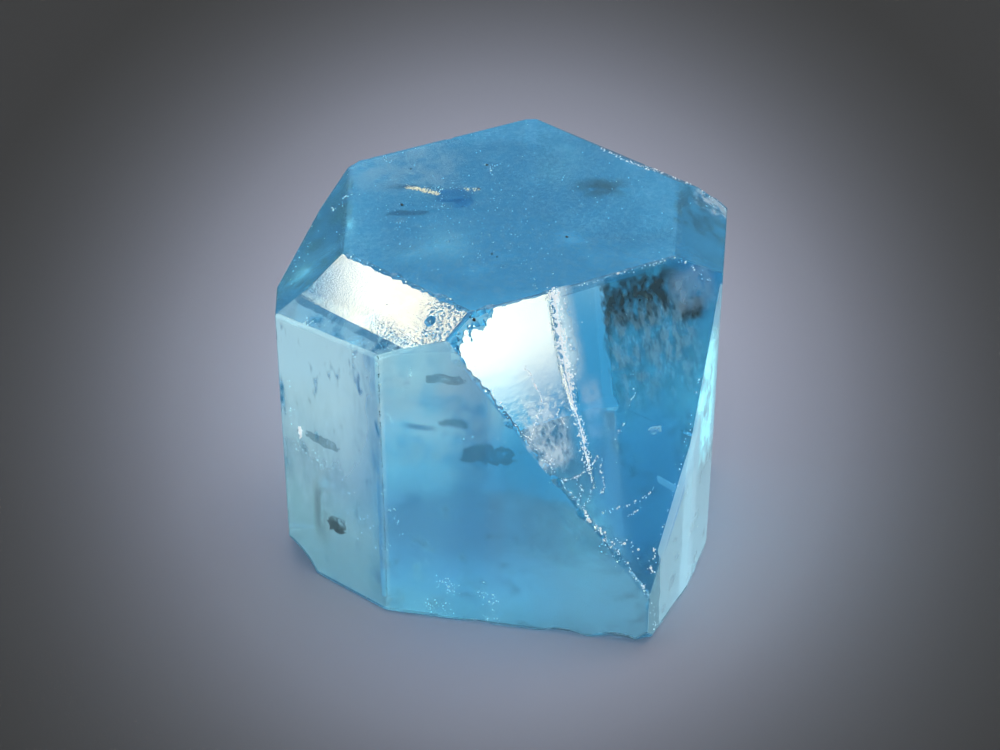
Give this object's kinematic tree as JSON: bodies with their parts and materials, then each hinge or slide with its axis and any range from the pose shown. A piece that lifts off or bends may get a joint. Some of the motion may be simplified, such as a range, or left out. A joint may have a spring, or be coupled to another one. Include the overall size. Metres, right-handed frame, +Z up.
{
  "type": "topaz crystal",
  "caption": "Clear sky-blue topaz crystal with a flat top face, sloping and upright faces and a flat cleaved foot that it stands on.",
  "frame": {"origin": "middle of the bounding box on the floor plane, in the flat cleaved foot", "axes": "+Z up along the crystal's long prism axis, out of the flat top face; -Y towards the broad upright front face and the large sloping face; +X towards the narrow upright faces on the right"},
  "size_m": [0.039, 0.0394, 0.0298],
  "materials": {
    "topaz": "clear natural crystal, bright unpolished growth faces with fine growth lines, worn and flaked edges"
  },
  "bodies": {
    "root": {"crystal": "topaz"}
  },
  "joints": []
}
